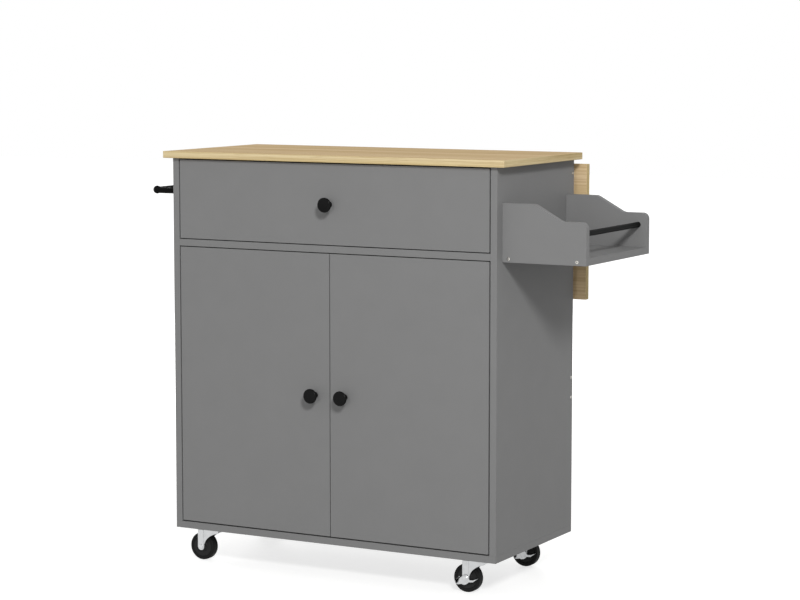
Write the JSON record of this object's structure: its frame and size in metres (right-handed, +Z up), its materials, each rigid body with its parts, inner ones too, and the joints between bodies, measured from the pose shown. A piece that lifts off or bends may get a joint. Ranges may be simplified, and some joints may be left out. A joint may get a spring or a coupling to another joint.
{
  "type": "drop leaf kitchen island",
  "caption": "Kitchen island on casters with a drawer, double doors, a hinged back leaf, a side spice rack and a towel bar.",
  "frame": {"origin": "on the floor, in the middle of the whole island's footprint, rack and towel bar included", "axes": "+X to the right of someone who faces the doors, towards the spice rack; +Y to the back, where the leaf hangs; +Z up"},
  "size_m": [1.069, 0.444, 0.923],
  "materials": {
    "grey_board": "satin grey laminate on particle board",
    "oak_board": "oak grain laminate on particle board",
    "white_panel": "plain white foil",
    "black_plastic": "satin black",
    "black_tube": "black powder coat",
    "black_wheel": "matt black",
    "zinc": "bright zinc plate",
    "nickel": "nickel plate",
    "white_steel": "white epoxy coat"
  },
  "bodies": {
    "cabinet": {"worktop": "oak_board", "bottom_board": "grey_board", "left_side_panel": "grey_board", "right_side_panel": "grey_board", "divider_board": "grey_board", "upper_back_board": "grey_board", "mid_back_rail": "grey_board", "inner_shelf": "grey_board", "back_panel_lower": "white_panel", "back_panel_upper": "white_panel", "left_cabinet_runner": "white_steel", "right_cabinet_runner": "white_steel", "left_lower_hinge_arm": "nickel", "left_upper_hinge_arm": "nickel", "right_lower_hinge_arm": "nickel", "right_upper_hinge_arm": "nickel", "rack_front_end": "grey_board", "rack_rear_end": "grey_board", "rack_bottom": "grey_board", "rack_rail": "black_tube", "towel_front_post": "black_tube", "towel_rear_post": "black_tube", "towel_bar": "black_tube", "left_bracket_wall_plate": "zinc", "right_bracket_wall_plate": "zinc", "front_left_caster_plate": "zinc", "front_right_caster_plate": "zinc", "rear_left_caster_plate": "zinc", "rear_right_caster_plate": "zinc"},
    "leaf": {"drop_leaf": "oak_board", "left_bracket_arm": "zinc", "right_bracket_arm": "zinc"},
    "left_strut": {"left_bracket_strut": "zinc"},
    "right_strut": {"right_bracket_strut": "zinc"},
    "drawer": {"drawer_front": "grey_board", "drawer_left_side": "white_panel", "drawer_right_side": "white_panel", "drawer_back": "white_panel", "drawer_bottom": "white_panel", "drawer_knob": "black_plastic", "left_drawer_runner": "white_steel", "right_drawer_runner": "white_steel"},
    "left_door": {"left_door": "grey_board", "left_door_knob": "black_plastic", "left_lower_hinge_cup": "nickel", "left_upper_hinge_cup": "nickel"},
    "right_door": {"right_door": "grey_board", "right_door_knob": "black_plastic", "right_lower_hinge_cup": "nickel", "right_upper_hinge_cup": "nickel"},
    "front_left_fork": {"front_left_caster_fork": "zinc"},
    "front_right_fork": {"front_right_caster_fork": "zinc"},
    "rear_left_fork": {"rear_left_caster_fork": "zinc"},
    "rear_right_fork": {"rear_right_caster_fork": "zinc"},
    "front_left_wheel": {"front_left_caster_wheel": "black_wheel"},
    "front_right_wheel": {"front_right_caster_wheel": "black_wheel"},
    "rear_left_wheel": {"rear_left_caster_wheel": "black_wheel"},
    "rear_right_wheel": {"rear_right_caster_wheel": "black_wheel"},
    "front_right_pedal": {"front_right_brake_pedal": "zinc"},
    "rear_right_pedal": {"rear_right_brake_pedal": "zinc"}
  },
  "joints": [
    {"name": "leaf_hinge", "type": "hinge", "parent": "cabinet", "child": "leaf", "pos_m": [-0.0555, 0.1895, 0.8905], "axis": [1, 0, 0], "range_deg": [0, 90]},
    {"name": "left_strut_pivot", "type": "hinge", "parent": "cabinet", "child": "left_strut", "pos_m": [-0.3055, 0.1945, 0.8205], "axis": [1, 0, 0], "range_deg": [0, 117]},
    {"name": "right_strut_pivot", "type": "hinge", "parent": "cabinet", "child": "right_strut", "pos_m": [0.1945, 0.1945, 0.8205], "axis": [1, 0, 0], "range_deg": [0, 117]},
    {"name": "drawer_slide", "type": "slide", "parent": "cabinet", "child": "drawer", "axis": [0, -1, 0], "range_m": [0, 0.26]},
    {"name": "left_door_hinge", "type": "hinge", "parent": "cabinet", "child": "left_door", "pos_m": [-0.4375, -0.197, 0.404], "axis": [0, 0, -1], "range_deg": [0, 100]},
    {"name": "right_door_hinge", "type": "hinge", "parent": "cabinet", "child": "right_door", "pos_m": [0.3265, -0.197, 0.404], "axis": [0, 0, 1], "range_deg": [0, 100]},
    {"name": "front_left_swivel", "type": "hinge", "parent": "cabinet", "child": "front_left_fork", "pos_m": [-0.3905, -0.149, 0.07], "axis": [0, 0, 1], "continuous": true},
    {"name": "front_right_swivel", "type": "hinge", "parent": "cabinet", "child": "front_right_fork", "pos_m": [0.2795, -0.149, 0.07], "axis": [0, 0, 1], "continuous": true},
    {"name": "rear_left_swivel", "type": "hinge", "parent": "cabinet", "child": "rear_left_fork", "pos_m": [-0.3905, 0.135, 0.07], "axis": [0, 0, 1], "continuous": true},
    {"name": "rear_right_swivel", "type": "hinge", "parent": "cabinet", "child": "rear_right_fork", "pos_m": [0.2795, 0.135, 0.07], "axis": [0, 0, 1], "continuous": true},
    {"name": "front_left_roll", "type": "hinge", "parent": "front_left_fork", "child": "front_left_wheel", "pos_m": [-0.413, -0.149, 0.031], "axis": [0, 1, 0], "continuous": true},
    {"name": "front_right_roll", "type": "hinge", "parent": "front_right_fork", "child": "front_right_wheel", "pos_m": [0.257, -0.149, 0.031], "axis": [0, 1, 0], "continuous": true},
    {"name": "rear_left_roll", "type": "hinge", "parent": "rear_left_fork", "child": "rear_left_wheel", "pos_m": [-0.413, 0.135, 0.031], "axis": [0, 1, 0], "continuous": true},
    {"name": "rear_right_roll", "type": "hinge", "parent": "rear_right_fork", "child": "rear_right_wheel", "pos_m": [0.257, 0.135, 0.031], "axis": [0, 1, 0], "continuous": true},
    {"name": "front_right_brake", "type": "hinge", "parent": "front_right_fork", "child": "front_right_pedal", "pos_m": [0.257, -0.149, 0.031], "axis": [0, 1, 0], "range_deg": [0, 20]},
    {"name": "rear_right_brake", "type": "hinge", "parent": "rear_right_fork", "child": "rear_right_pedal", "pos_m": [0.257, 0.135, 0.031], "axis": [0, 1, 0], "range_deg": [0, 20]}
  ],
  "couplings": [
    {"joint": "left_strut_pivot", "follows": "leaf_hinge", "ratio": 1.2909},
    {"joint": "right_strut_pivot", "follows": "leaf_hinge", "ratio": 1.2909}
  ]
}
